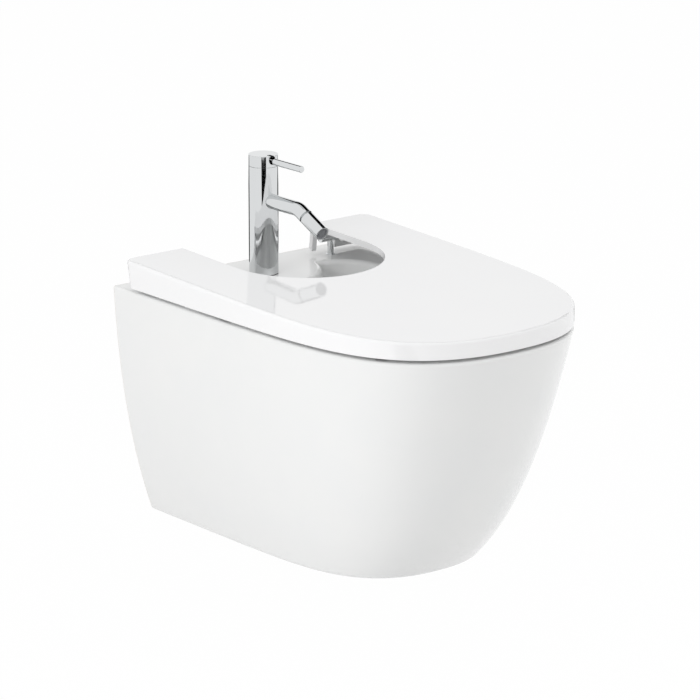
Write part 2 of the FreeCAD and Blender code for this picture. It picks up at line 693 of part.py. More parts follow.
def cartridge_housing():
    housing = cylinder(CARTRIDGE_D, CARTRIDGE_H, at_tap(0, 0, CARTRIDGE_Z))
    cup_floor = at_tap(0, 0, CARTRIDGE_Z + CARTRIDGE_BASE_T)
    housing = housing.cut(cylinder(CARTRIDGE_D - 2 * CARTRIDGE_WALL, CARTRIDGE_H, cup_floor))
    for side in (-1, 1):
        inlet = at_tap(side * INLET_SPACING / 2, -INLET_BACK, CARTRIDGE_Z - PAST)
        housing = housing.cut(cylinder(PASSAGE_D, CARTRIDGE_BASE_T + 2 * PAST, inlet))
    housing = housing.cut(cylinder(PASSAGE_D, CARTRIDGE_BASE_T, at_tap(0, MIXED_FORWARD, SPOUT_Z)))
    outlet = at_tap(0, MIXED_FORWARD - MIXED_D / 2, SPOUT_Z)
    return housing.cut(cylinder(MIXED_D, CARTRIDGE_D, outlet, -AXIS_Y))


def cartridge_seals():
    seals = []
    for side in (-1, 1):
        start = at_tap(side * INLET_SPACING / 2, -INLET_BACK, TAP_FLOOR_Z + TAP_FLOOR_T)
        height = CARTRIDGE_Z - TAP_FLOOR_Z - TAP_FLOOR_T
        seals.append(tube(PASSAGE_SEAL_D, PASSAGE_D, height, start))
    return Part.makeCompound(seals)


def fixed_disc():
    base = CARTRIDGE_Z + CARTRIDGE_BASE_T
    disc = cylinder(DISC_D, DISC_T, at_tap(0, 0, base))
    places = [at_tap(side * INLET_SPACING / 2, -INLET_BACK, base - PAST) for side in (-1, 1)]
    places.append(at_tap(0, MIXED_FORWARD, base - PAST))
    for place in places:
        disc = disc.cut(cylinder(PASSAGE_D, DISC_T + 2 * PAST, place))
    return disc


def moving_disc():
    disc = cylinder(SLIDER_D, SLIDER_T, at_tap(0, 0, SLIDER_Z))
    pocket_z = SLIDER_Z + SLIDER_T - STEM_BALL_D / 2 - PAST
    pocket = cylinder(STEM_BALL_D + 2 * FREE_GAP, SLIDER_T, at_tap(0, 0, pocket_z))
    return disc.cut(pocket)


def stem_carrier():
    base = SLIDER_Z + SLIDER_T + FREE_GAP
    shoulder = CARTRIDGE_TOP - FREE_GAP - base
    outer = CARTRIDGE_D - 2 * CARTRIDGE_WALL - 2 * FIT_GAP
    carrier = cylinder(outer, shoulder, at_tap(0, 0, base))
    carrier = carrier.fuse(cylinder(CARRIER_NECK_D, shoulder + CARRIER_NECK_H, at_tap(0, 0, base)))
    slot = box(at_tap(-STEM_D / 2 - FREE_GAP, CARRIER_SLOT / 2, base - PAST),
               at_tap(STEM_D / 2 + FREE_GAP, -CARRIER_SLOT / 2, base + shoulder + CARRIER_NECK_H + PAST))
    pin = cylinder(PIVOT_PIN_D, outer, at_tap(-outer / 2, 0, PIVOT_Z), AXIS_X)
    return carrier.cut(slot).cut(pin)


def pivot_pin():
    length = CARRIER_NECK_D - 2 * PIVOT_PIN_INSET
    return cylinder(PIVOT_PIN_D, length, at_tap(-length / 2, 0, PIVOT_Z), AXIS_X)


def lever_stem():
    low = PIVOT_Z - PIVOT_ABOVE_SLIDER
    head_z = LEVER_Z - STEM_HEAD_BELOW
    ball = Part.makeSphere(STEM_BALL_D / 2, at_tap(0, 0, low))
    neck = cylinder(STEM_NECK_D, PIVOT_ABOVE_SLIDER, at_tap(0, 0, low))
    shank = cylinder(STEM_D, head_z - PIVOT_Z + STEM_D / 2 + PAST, at_tap(0, 0, PIVOT_Z - STEM_D / 2))
    head = cylinder(STEM_HEAD_D, STEM_HEAD_BELOW + STEM_HEAD_ABOVE, at_tap(0, 0, head_z))
    stem = ball.fuse([neck, shank, head])
    eye = cylinder(PIVOT_PIN_D + 2 * FIT_GAP, 2 * STEM_D, at_tap(-STEM_D, 0, PIVOT_Z), AXIS_X)
    stem = stem.cut(eye)
    stem = stem.cut(cylinder(LEVER_NECK_D, STEM_HEAD_D, at_tap(0, -LEVER_NECK_END, LEVER_Z), -AXIS_Y))
    stem = stem.cut(cylinder(GRUB_D, STEM_HEAD_D, at_tap(0, -STEM_HEAD_D, LEVER_Z), -AXIS_Y))
    return stem.removeSplitter()


def lever():
    rod = cylinder(LEVER_D, LEVER_LENGTH - LEVER_ROOT, at_tap(0, LEVER_ROOT, LEVER_Z), -AXIS_Y)
    tip = edges_where(rod, lambda e: e.BoundBox.YMax < -TAP_Y - LEVER_LENGTH + NEAR)
    rod = rod.makeFillet(LEVER_TIP_R, tip)
    neck = cylinder(LEVER_NECK_D, LEVER_ROOT + LEVER_NECK_END, at_tap(0, -LEVER_NECK_END, LEVER_Z), -AXIS_Y)
    return rod.fuse(neck)


def lever_grub_screw():
    length = STEM_HEAD_D / 2 - LEVER_NECK_END - GRUB_INSET
    return cylinder(GRUB_D, length, at_tap(0, -LEVER_NECK_END, LEVER_Z), AXIS_Y)


def cartridge_nut():
    nut = cylinder(NUT_D, BODY_TOP - CARTRIDGE_TOP, at_tap(0, 0, CARTRIDGE_TOP))
    collar_d = TAP_D - 2 * CAP_WALL - 2 * FIT_GAP
    nut = nut.fuse(cylinder(collar_d, NUT_COLLAR_H, at_tap(0, 0, BODY_TOP)))
    wide = collar_d - 2 * NUT_COLLAR_WALL
    nut = nut.cut(cylinder(NUT_BORE_D, TAP_HEIGHT, at_tap(0, 0, CARTRIDGE_TOP - PAST)))
    return nut.cut(cylinder(wide, TAP_HEIGHT, at_tap(0, 0, CARTRIDGE_TOP + NUT_LIP_T)))


def mixer_cap():
    base = TAP_HEIGHT - CAP_H
    cap = cylinder(TAP_D, CAP_H, at_tap(0, 0, base))
    top = edges_where(cap, lambda e: e.BoundBox.ZMin > RIM_Z + TAP_HEIGHT - NEAR)
    cap = cap.makeFillet(CAP_EDGE_R, top)
    cap = cap.cut(cylinder(TAP_D - 2 * CAP_WALL, CAP_H - CAP_TOP_T, at_tap(0, 0, base)))
    slot = cylinder(LEVER_SLOT, TAP_D, at_tap(0, 0, LEVER_Z), -AXIS_Y)
    gate = box(at_tap(-LEVER_SLOT / 2, TAP_D, LEVER_Z), at_tap(LEVER_SLOT / 2, 0, TAP_HEIGHT - CAP_TOP_T))
    neck_top = LEVER_Z + LEVER_NECK_D / 2 - PIVOT_Z
    rise = TAP_HEIGHT - CAP_TOP_T - FREE_GAP - PIVOT_Z - neck_top * math.cos(LIFT)
    slit_w = LEVER_NECK_D + 2 * FREE_GAP
    slit_end = rise / math.tan(LIFT) - neck_top * math.sin(LIFT) + slit_w / 2
    slit = box(at_tap(-slit_w / 2, TAP_D, LEVER_Z), at_tap(slit_w / 2, slit_end, TAP_HEIGHT + PAST))
    slit = slit.fuse(cylinder(slit_w, LEVER_BELOW_TOP + PAST, at_tap(0, slit_end, LEVER_Z)))
    return cap.cut(slot).cut(gate).cut(slit)


# Tap clamp under the deck

def horseshoe(thickness, depth):
    plate = tube(CLAMP_D, CLAMP_BORE_D, thickness, at_tap(0, 0, -depth - thickness))
    tongue = box(at_tap(-STUD_D, CLAMP_BORE_D / 2 + PAST, -depth - thickness),
                 at_tap(STUD_D, STUD_FORWARD - STUD_D, -depth))
    under = -depth - thickness - PAST
    slot = box(at_tap(-CLAMP_SLOT / 2, 0, under), at_tap(CLAMP_SLOT / 2, -CLAMP_D, -depth + PAST))
    hole = cylinder(STUD_D + FREE_GAP, thickness + 2 * PAST, at_tap(0, STUD_FORWARD, under))
    return plate.cut(slot).fuse(tongue).cut(hole).removeSplitter()


def clamp_pad():
    return horseshoe(CLAMP_PAD_T, DECK_T)


def clamp_plate():
    return horseshoe(CLAMP_PLATE_T, DECK_T + CLAMP_PAD_T)


def tap_stud():
    top = TAP_FLOOR_Z + THREAD_DEPTH
    return cylinder(STUD_D, STUD_LENGTH, at_tap(0, STUD_FORWARD, top - STUD_LENGTH))


def stud_nut():
    depth = DECK_T + CLAMP_PAD_T + CLAMP_PLATE_T + STUD_NUT_H
    start = at_tap(0, STUD_FORWARD, -depth)
    return hexagon(STUD_NUT_AF, STUD_NUT_H, start).cut(cylinder(STUD_D, STUD_NUT_H + PAST, start))


# Waste: depths are measured from the basin's floor

def at_waste(depth):
    return V(0, -WASTE_Y, below(BASIN_DEPTH + depth))


def waste_flange():
    top = -WASTE_SEAL_T - WASTE_FLANGE_T
    flange = cylinder(WASTE_FLANGE_D, WASTE_FLANGE_T, at_waste(-WASTE_SEAL_T))
    edge = edges_where(flange, lambda e: e.BoundBox.ZMin > at_waste(top).z - NEAR)
    flange = flange.makeFillet(WASTE_EDGE_R, edge)
    tail = cylinder(WASTE_TAIL_D, WASTE_TAIL_LENGTH, at_waste(WASTE_TAIL_LENGTH - WASTE_SEAL_T))
    bore = cylinder(WASTE_BORE_D, 2 * WASTE_TAIL_LENGTH, at_waste(WASTE_TAIL_LENGTH))
    flange = flange.fuse(tail).cut(bore)
    corner = V(WASTE_BORE_D / 2 + PAST, SPINDLE_D, 0)
    guide_low = at_waste(GUIDE_DEPTH + GUIDE_T)
    guide = box(guide_low - corner, at_waste(GUIDE_DEPTH) + corner)
    guide = guide.common(cylinder(WASTE_BORE_D + PAST, GUIDE_T, guide_low))
    hole = cylinder(SPINDLE_D + 2 * FIT_GAP, GUIDE_T, guide_low)
    return flange.fuse(guide.cut(hole)).removeSplitter()


def waste_plug():
    foot = -WASTE_SEAL_T - WASTE_FLANGE_T - FREE_GAP
    plug = cylinder(PLUG_D, PLUG_T, at_waste(foot))
    rim = edges_where(plug, lambda e: e.BoundBox.ZMin > at_waste(foot).z + PLUG_T - NEAR)
    return plug.makeFillet(PLUG_EDGE_R, rim)


def plug_spindle():
    foot = -WASTE_SEAL_T - WASTE_FLANGE_T - FREE_GAP
    return cylinder(SPINDLE_D, SPINDLE_LENGTH, at_waste(foot + SPINDLE_LENGTH))


def waste_seal():
    return tube(WASTE_SEAL_D, WASTE_HOLE_D, WASTE_SEAL_T, at_waste(0))


def waste_gasket():
    return tube(GASKET_D, WASTE_TAIL_D, GASKET_T, at_waste(BASIN_FLOOR_T + GASKET_T))


def waste_back_nut():
    start = at_waste(BASIN_FLOOR_T + GASKET_T + BACK_NUT_H)
    return hexagon(BACK_NUT_AF, BACK_NUT_H, start).cut(cylinder(WASTE_TAIL_D, BACK_NUT_H + PAST, start))


# Trap

CUP_TOP = BOTTLE_TOP + BOTTLE_H - CUP_OVERLAP
CUP_BORE_D = BOTTLE_D + 2 * FIT_GAP
OUTLET_Z = below(BOTTLE_TOP + OUTLET_DEPTH)


def at_trap(depth):
    return V(0, -WASTE_Y, below(depth))


def trap_dip_tube():
    low = at_trap(TAIL_END + DIP_LENGTH)
    collar = cylinder(TUBE_COLLAR_D, TUBE_COLLAR_T, at_trap(TAIL_END + TUBE_COLLAR_T))
    pipe = cylinder(PIPE_D, DIP_LENGTH, low)
    return collar.fuse(pipe).cut(cylinder(PIPE_D - 2 * PIPE_WALL, DIP_LENGTH + PAST, low))


def trap_inlet_nut():
    lip = TAIL_END + TUBE_COLLAR_T
    nut = cylinder(INLET_NUT_D, INLET_NUT_H, at_trap(lip + TUBE_COLLAR_T))
    nut = nut.cut(cylinder(WASTE_TAIL_D, INLET_NUT_H, at_trap(lip)))
    return nut.cut(cylinder(PIPE_D + 2 * FIT_GAP, INLET_NUT_H, at_trap(lip + TUBE_COLLAR_T)))


def trap_bottle():
    bottle = cylinder(BOTTLE_D, BOTTLE_H, at_trap(BOTTLE_TOP + BOTTLE_H))
    rear = V(0, -WASTE_Y, OUTLET_Z)
    boss_length = BOTTLE_D / 2 + OUTLET_BOSS_L
    bottle = bottle.fuse(cylinder(OUTLET_BOSS_D, boss_length, rear, AXIS_Y))
    inside = cylinder(BOTTLE_D - 2 * BOTTLE_WALL, BOTTLE_H, at_trap(BOTTLE_TOP + BOTTLE_H + BOTTLE_WALL))
    bottle = bottle.cut(inside)
    bottle = bottle.cut(cylinder(PIPE_D + 2 * FIT_GAP, BOTTLE_H, at_trap(BOTTLE_TOP + BOTTLE_H / 2)))
    bottle = bottle.cut(cylinder(PIPE_D - 2 * PIPE_WALL, boss_length + PAST, rear, AXIS_Y))
    socket = rear + AXIS_Y * (BOTTLE_D / 2 + OUTLET_STOP)
    return bottle.cut(cylinder(PIPE_D + 2 * FIT_GAP, OUTLET_BOSS_L, socket, AXIS_Y))


def trap_cup():
    cup = cylinder(CUP_BORE_D + 2 * CUP_WALL, CUP_H, at_trap(CUP_TOP + CUP_H))
    edge = edges_where(cup, lambda e: e.BoundBox.ZMax < below(CUP_TOP + CUP_H) + NEAR)
    cup = cup.makeFillet(CUP_WALL, edge)
    socket = CUP_OVERLAP + CUP_SEAL_T
    cup = cup.cut(cylinder(CUP_BORE_D, socket, at_trap(CUP_TOP + socket)))
    depth = CUP_H - CUP_WALL
    return cup.cut(cylinder(BOTTLE_D - 2 * BOTTLE_WALL, depth, at_trap(CUP_TOP + depth)))


def trap_cup_seal():
    depth = CUP_TOP + CUP_OVERLAP + CUP_SEAL_T
    return tube(BOTTLE_D, BOTTLE_D - 2 * BOTTLE_WALL, CUP_SEAL_T, at_trap(depth))


def outlet_start(along):
    return V(0, -WASTE_Y + BOTTLE_D / 2 + along, OUTLET_Z)


def outlet_pipe():
    start = outlet_start(OUTLET_STOP)
    length = -PIPE_END - start.y
    pipe = cylinder(PIPE_D, length - PIPE_SPIGOT_L, start, AXIS_Y)
    pipe = pipe.fuse(cylinder(PIPE_SPIGOT_D, length, start, AXIS_Y))
    bore = cylinder(PIPE_D - 2 * PIPE_WALL, length + PAST, start, AXIS_Y)
    return pipe.cut(bore).removeSplitter()


def outlet_seal():
    return tube(OUTLET_BOSS_D, PIPE_D + 2 * FIT_GAP, OUTLET_SEAL_T, outlet_start(OUTLET_BOSS_L), AXIS_Y)


def outlet_nut():
    end = OUTLET_BOSS_L + OUTLET_SEAL_T
    start = outlet_start(end - OUTLET_NUT_L)
    nut = cylinder(OUTLET_NUT_D, OUTLET_NUT_L + OUTLET_NUT_LIP, start, AXIS_Y)
    nut = nut.cut(cylinder(OUTLET_BOSS_D + 2 * FIT_GAP, OUTLET_NUT_L, start, AXIS_Y))
    return nut.cut(cylinder(PIPE_D + 2 * FIT_GAP, 2 * OUTLET_NUT_L, start, AXIS_Y))


PARTS = {
    "ceramic_bowl": ceramic_bowl,
    "wall_bushes": wall_bushes,
    "wall_washers": wall_washers,
    "cover": cover,
    "cover_bumpers": cover_bumpers,
    "hinge_post_right": hinge_post,
    "hinge_post_left": lambda: mirrored(hinge_post()),
    "hinge_damper_right": hinge_damper,
    "hinge_damper_left": lambda: mirrored(hinge_damper()),
    "hinge_sleeves": hinge_sleeves,
    "hinge_cone_nuts": hinge_cone_nuts,
    "tap_body": tap_body,
    "tap_base_seal": tap_base_seal,
    "spout": spout,
    "swivel_ball": swivel_ball,
    "aerator_housing": aerator_housing,
    "aerator_seal": aerator_seal,
    "aerator_insert": aerator_insert,
    "cartridge_housing": cartridge_housing,
    "cartridge_seals": cartridge_seals,
    "fixed_disc": fixed_disc,
    "moving_disc": moving_disc,
    "stem_carrier": stem_carrier,
    "pivot_pin": pivot_pin,
    "lever_stem": lever_stem,
    "lever": lever,
    "lever_grub_screw": lever_grub_screw,
    "cartridge_nut": cartridge_nut,
    "mixer_cap": mixer_cap,
    "clamp_pad": clamp_pad,
    "clamp_plate": clamp_plate,
    "tap_stud": tap_stud,
    "stud_nut": stud_nut,
    "waste_flange": waste_flange,
    "waste_plug": waste_plug,
    "plug_spindle": plug_spindle,
    "waste_seal": waste_seal,
    "waste_gasket": waste_gasket,
    "waste_back_nut": waste_back_nut,
    "trap_dip_tube": trap_dip_tube,
    "trap_inlet_nut": trap_inlet_nut,
    "trap_bottle": trap_bottle,
    "trap_cup": trap_cup,
    "trap_cup_seal": trap_cup_seal,
    "outlet_pipe": outlet_pipe,
    "outlet_seal": outlet_seal,
    "outlet_nut": outlet_nut,
}

os.makedirs("parts", exist_ok=True)
for name, make in PARTS.items():
    shape = make()
    shape.exportStep("parts/" + name + ".step")
    state = "valid" if shape.isValid() else "NOT VALID"
    print(name, state, len(shape.Solids), "solids, volume", round(shape.Volume / 1000, 2), "cm3")
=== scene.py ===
# %% [markdown]
# # A wall-hung bidet, finished and photographed
# The frame brings in every solid of the bidet at its real size, in metres, with the wall at Y = 0 and the
# front looking along -Y. This lesson gives each piece the finish of its real material, models the small
# pieces whose detail a plain solid lacks, and sets up the studio.

# %% Load the frame
import bpy
import json
import math
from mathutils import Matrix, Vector


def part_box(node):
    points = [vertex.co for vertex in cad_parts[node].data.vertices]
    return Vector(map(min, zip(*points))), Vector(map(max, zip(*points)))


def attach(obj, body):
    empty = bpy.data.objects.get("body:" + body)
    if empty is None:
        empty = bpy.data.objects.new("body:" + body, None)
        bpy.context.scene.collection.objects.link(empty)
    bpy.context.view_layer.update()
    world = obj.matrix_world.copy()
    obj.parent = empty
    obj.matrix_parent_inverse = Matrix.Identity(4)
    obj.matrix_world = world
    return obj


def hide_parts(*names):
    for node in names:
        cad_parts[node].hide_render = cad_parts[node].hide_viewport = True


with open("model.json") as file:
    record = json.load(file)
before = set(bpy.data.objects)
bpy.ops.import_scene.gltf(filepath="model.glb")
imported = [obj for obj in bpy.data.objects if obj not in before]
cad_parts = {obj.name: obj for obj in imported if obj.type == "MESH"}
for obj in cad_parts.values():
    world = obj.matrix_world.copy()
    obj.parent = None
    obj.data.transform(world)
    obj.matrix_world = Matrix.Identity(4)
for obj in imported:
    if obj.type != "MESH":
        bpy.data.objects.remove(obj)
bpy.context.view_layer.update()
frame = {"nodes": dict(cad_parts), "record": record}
nodes = frame["nodes"]
bpy.ops.object.select_all(action="DESELECT")

# %% [markdown]
# ## Tools for the finishes
# A finish is a small tree of nodes. Colours are easiest to read as the hex values of a colour chart, but
# Blender mixes light linearly, so one function turns hex to linear. A second one adds any node with its
# settings, values and links, which keeps each finish down to the lines that matter.

# %% Colour and node helpers
GLAZE_WHITE = "F3F3F2"


def linear(hex_colour):
    channels = [int(hex_colour[start:start + 2], 16) / 255 for start in (0, 2, 4)]
    return tuple(c / 12.92 if c <= 0.04045 else ((c + 0.055) / 1.055) ** 2.4 for c in channels) + (1.0,)


def add(tree, kind, settings={}, values={}, links={}):
    made = tree.nodes.new(kind)
    for name, value in settings.items():
        setattr(made, name, value)
    for socket, value in values.items():
        made.inputs[socket].default_value = value
    for socket, (source, output) in links.items():
        tree.links.new(source.outputs[output], made.inputs[socket])
    return made


def new_finish(name):
    finish = bpy.data.materials.new(name)
    finish.use_nodes = True
    finish.node_tree.nodes.clear()
    return finish, finish.node_tree


def per_metre(millimetres):
    """Noise scale whose features are about that large."""
    return 1000 / millimetres


print("white of the glaze, linear:", [round(c, 3) for c in linear(GLAZE_WHITE)[:3]])

# %% [markdown]
# ## Glazed vitreous china
# The body is slip-cast clay, fired with a white glaze that flows a little before it sets. That gives the eye
# a hard mirror gloss whose reflections waver over a hand's width, and a faint change of tone where the glaze
# lies thicker. The rear face that meets the wall stands on the kiln shelf and stays bare: matt, and a little
# warmer. A bump from a coarse noise makes the waver, and the place along Y picks out the bare face.

# %% Glazed vitreous china
MIX_A, MIX_B, MIX_RESULT = 6, 7, 2      # colour sockets of the Mix node
china, tree = new_finish("glazed_vitreous_china")
place = add(tree, "ShaderNodeTexCoord")
axes = add(tree, "ShaderNodeSeparateXYZ", links={"Vector": (place, "Object")})
bare = add(tree, "ShaderNodeMapRange", values={"From Min": -0.0008, "From Max": -0.0003},
           links={"Value": (axes, "Y")})
flow = add(tree, "ShaderNodeTexNoise",
           values={"Scale": per_metre(70), "Detail": 2.0, "Roughness": 0.4},
           links={"Vector": (place, "Object")})
glaze = add(tree, "ShaderNodeMix", settings={"data_type": "RGBA"},
            values={MIX_A: linear(GLAZE_WHITE), MIX_B: linear("EFF0F0")},
            links={"Factor": (flow, "Fac")})
grit = add(tree, "ShaderNodeTexNoise", values={"Scale": per_metre(1.5), "Detail": 4.0},
           links={"Vector": (place, "Object")})
clay = add(tree, "ShaderNodeMix", settings={"data_type": "RGBA"},
           values={MIX_A: linear("DCD6CB"), MIX_B: linear("EAE5DC")},
           links={"Factor": (grit, "Fac")})
colour = add(tree, "ShaderNodeMix", settings={"data_type": "RGBA"},
             links={"Factor": (bare, "Result"), MIX_A: (glaze, MIX_RESULT), MIX_B: (clay, MIX_RESULT)})
gloss = add(tree, "ShaderNodeMapRange", values={"To Min": 0.05, "To Max": 0.6},
            links={"Value": (bare, "Result")})
waver = add(tree, "ShaderNodeBump", values={"Strength": 0.08, "Distance": 0.001},
            links={"Height": (flow, "Fac")})
shader = add(tree, "ShaderNodeBsdfPrincipled", values={"IOR": 1.52},
             links={"Base Color": (colour, MIX_RESULT), "Roughness": (gloss, "Result"),
                    "Normal": (waver, "Normal")})
add(tree, "ShaderNodeOutputMaterial", links={"Surface": (shader, "BSDF")})
print("finish:", china.name)

# %% [markdown]
# ## Thermoset of the cover
# The cover is pressed from urea resin, a hard white plastic that comes out of a polished mould with a gloss
# close to the glaze's. Its underside is left satin, because that half of the mould isn't polished. The
# direction of the surface tells the two apart: where it looks down, the roughness rises.

# %% Pressed urea thermoset
thermoset, tree = new_finish("pressed_urea_thermoset")
place = add(tree, "ShaderNodeTexCoord")
faces = add(tree, "ShaderNodeSeparateXYZ", links={"Vector": (place, "Normal")})
under = add(tree, "ShaderNodeMapRange",
            values={"From Min": -0.6, "From Max": -0.9, "To Min": 0.045, "To Max": 0.38},
            links={"Value": (faces, "Z")})
cloud = add(tree, "ShaderNodeTexNoise", values={"Scale": per_metre(90), "Detail": 1.0},
            links={"Vector": (place, "Object")})
colour = add(tree, "ShaderNodeMix", settings={"data_type": "RGBA"},
             values={MIX_A: linear("F9F9F9"), MIX_B: linear("F7F7F8")},
             links={"Factor": (cloud, "Fac")})
sink = add(tree, "ShaderNodeBump", values={"Strength": 0.04, "Distance": 0.001},
           links={"Height": (cloud, "Fac")})
shader = add(tree, "ShaderNodeBsdfPrincipled", values={"IOR": 1.55},
             links={"Base Color": (colour, MIX_RESULT), "Roughness": (under, "Result"),
                    "Normal": (sink, "Normal")})
add(tree, "ShaderNodeOutputMaterial", links={"Surface": (shader, "BSDF")})
print("finish:", thermoset.name)

# %% [markdown]
# ## Chrome-plated brass
# The tap, the hinge posts and the waste are turned from brass, polished and plated. Chrome mirrors the room
# with a cool grey tint. Polishing leaves a hint of uneven gloss, drawn here as a noise on the roughness.

# %% Chrome-plated brass
chrome, tree = new_finish("chrome_plated_brass")
place = add(tree, "ShaderNodeTexCoord")
polish = add(tree, "ShaderNodeTexNoise", values={"Scale": per_metre(9), "Detail": 3.0},
             links={"Vector": (place, "Object")})
gloss = add(tree, "ShaderNodeMapRange", values={"To Min": 0.025, "To Max": 0.06},
            links={"Value": (polish, "Fac")})
shader = add(tree, "ShaderNodeBsdfPrincipled", values={"Base Color": linear("D9DBDC"), "Metallic": 1.0},
             links={"Roughness": (gloss, "Result")})
add(tree, "ShaderNodeOutputMaterial", links={"Surface": (shader, "BSDF")})
print("finish:", chrome.name)

# %% [markdown]
# ## Finishes under the cover and behind the body
# The hidden pieces are bare turned brass, zinc-plated steel, rubber, polypropylene, acetal and lapped
# alumina. Each one is a Principled shader with a typical gloss, and one noise at the size of what the eye
# meets there: turning marks on brass, spangle on zinc, grain on rubber, the mould's spark-eroded texture on
# plastic.

# %% Brass, zinc, rubber, plastics and alumina
def plain_finish(name, dark, light, grain_mm, gloss_range, bump, metallic=0.0, ior=1.5):
    finish, tree = new_finish(name)
    place = add(tree, "ShaderNodeTexCoord")
    grain = add(tree, "ShaderNodeTexNoise", values={"Scale": per_metre(grain_mm), "Detail": 3.0},
                links={"Vector": (place, "Object")})
    colour = add(tree, "ShaderNodeMix", settings={"data_type": "RGBA"},
                 values={MIX_A: linear(dark), MIX_B: linear(light)},
                 links={"Factor": (grain, "Fac")})
    gloss = add(tree, "ShaderNodeMapRange", values={"To Min": gloss_range[0], "To Max": gloss_range[1]},
                links={"Value": (grain, "Fac")})
    relief = add(tree, "ShaderNodeBump", values={"Strength": bump, "Distance": 0.0005},
                 links={"Height": (grain, "Fac")})
    shader = add(tree, "ShaderNodeBsdfPrincipled", values={"Metallic": metallic, "IOR": ior},
                 links={"Base Color": (colour, MIX_RESULT), "Roughness": (gloss, "Result"),
                        "Normal": (relief, "Normal")})
    add(tree, "ShaderNodeOutputMaterial", links={"Surface": (shader, "BSDF")})
    return finish


brass = plain_finish("turned_brass", "B8944F", "CBAA68", 1.2, (0.22, 0.34), 0.05, metallic=1.0)
zinc = plain_finish("zinc_plated_steel", "A9AEB3", "C6CACE", 3.0, (0.26, 0.40), 0.04, metallic=1.0)
rubber = plain_finish("epdm_rubber", "1C1D1E", "2A2B2C", 0.8, (0.62, 0.80), 0.15)
polypropylene = plain_finish("moulded_polypropylene", "E9E9E7", "F0F0EF", 1.0, (0.34, 0.46), 0.06)
acetal = plain_finish("moulded_acetal", "9A9CA0", "AAACAF", 1.0, (0.34, 0.46), 0.06, ior=1.48)
alumina = plain_finish("lapped_alumina", "E6E0D2", "EEE9DE", 2.0, (0.10, 0.16), 0.01, ior=1.76)

finish_of = {
    "glazed_china": china,
    "cover_thermoset": thermoset,
    "chrome": chrome,
    "brass": brass,
    "steel": zinc,
    "rubber": rubber,
    "white_plastic": polypropylene,
    "grey_plastic": acetal,
    "disc_ceramic": alumina,
}
subparts = frame["record"]["subparts"]
for row in subparts:
    mesh = nodes[row["node"]].data
    mesh.materials.clear()
    mesh.materials.append(finish_of[row["material_slot"]])
print("solids with a finish:", len(subparts))

# %% [markdown]
# ## Where each solid belongs
# A modelled piece stands in the place of a solid, so it takes over that solid's body, finish and size. The
# record lists the first two, and the box round the solid gives its middle and its extent.

# %% Body, finish and size of each solid
behaviour = frame["record"]["behaviour"]
slot_of = {row["node"]: row["material_slot"] for row in subparts}
body_of = {node: body for body, members in behaviour["bodies"].items() for node in members}


def middle_of(node):
    low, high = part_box(node)
    return (Vector(low) + Vector(high)) / 2


def extent_of(node):
    low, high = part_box(node)
    return Vector(high) - Vector(low)


print("bodies:", sorted(set(body_of.values())))

# %% [markdown]
# ## Tools for modelling
# Small pieces are shaped as at the screen: a primitive, then edit mode on some of its faces or edges.
# Edit-mode operators act on whatever is selected, so two helpers open edit mode on just the faces or edges
# that are wanted, found by their place. Another closes the piece: it puts the place into the mesh, merges
# doubles, turns all faces outwards, smooths the round ones and ties the piece to the body and the solid it
# stands for.

# %% Modelling helpers
MERGE = 1e-6        # corners this close become one


def only(piece):
    bpy.ops.object.select_all(action="DESELECT")
    piece.select_set(True)
    bpy.context.view_layer.objects.active = piece


def clear_selection(piece, kind):
    """Leaves the piece in object mode with no corner, edge or face of it selected."""
    bpy.ops.object.mode_set(mode="OBJECT")
    only(piece)
    bpy.ops.object.mode_set(mode="EDIT")
    bpy.ops.mesh.select_mode(type=kind)
    bpy.ops.mesh.select_all(action="DESELECT")
    bpy.ops.object.mode_set(mode="OBJECT")


def edit_faces(piece, wanted):
    """Opens edit mode on the faces whose middle and normal are wanted."""
    clear_selection(piece, "FACE")
    for face in piece.data.polygons:
        face.select = wanted(face.center, face.normal)
    bpy.ops.object.mode_set(mode="EDIT")


def edit_edges(piece, wanted):
    """Opens edit mode on the edges whose two ends are wanted."""
    clear_selection(piece, "EDGE")
    corners = piece.data.vertices
    for edge in piece.data.edges:
        edge.select = all(wanted(corners[end].co) for end in edge.vertices)
    bpy.ops.object.mode_set(mode="EDIT")


def apply_modifier(piece, kind, **settings):
    bpy.ops.object.mode_set(mode="OBJECT")
    only(piece)
    modifier = piece.modifiers.new(kind.lower(), kind)
    for name, value in settings.items():
        setattr(modifier, name, value)
    bpy.ops.object.modifier_apply(modifier=modifier.name)


def stand_for(piece, node, smooth_deg=35):
    """Puts the place into the mesh, cleans it, and lets the piece stand for a solid."""
    only(piece)
    bpy.ops.object.transform_apply(location=True, rotation=True, scale=True)
    bpy.ops.object.mode_set(mode="EDIT")
    bpy.ops.mesh.select_all(action="SELECT")
    bpy.ops.mesh.remove_doubles(threshold=MERGE)
    bpy.ops.mesh.normals_make_consistent(inside=False)
    bpy.ops.object.mode_set(mode="OBJECT")
    bpy.ops.object.shade_smooth_by_angle(angle=math.radians(smooth_deg))
    slot = slot_of[node]
    piece.data.materials.clear()
    piece.data.materials.append(finish_of[slot])
    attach(piece, body_of[node])
    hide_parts(node)
    print(piece.name, "stands for", node, "with", len(piece.data.polygons), "faces")


print("modelling helpers ready, doubles merge within", MERGE, "m")

# %% [markdown]
# ## Insert of the aerator
# The outlet of the nozzle is closed by a moulded insert: a short plug with a rim, and a recess for the
# honeycomb that breaks the water into fine jets. The nozzle slopes down, so the plug's length can't be read
# off the solid's upright box. The axis of the swing joint gives the slope, and the slope gives the length.
# The plug is shaped upright at the origin, and turned when it is whole.

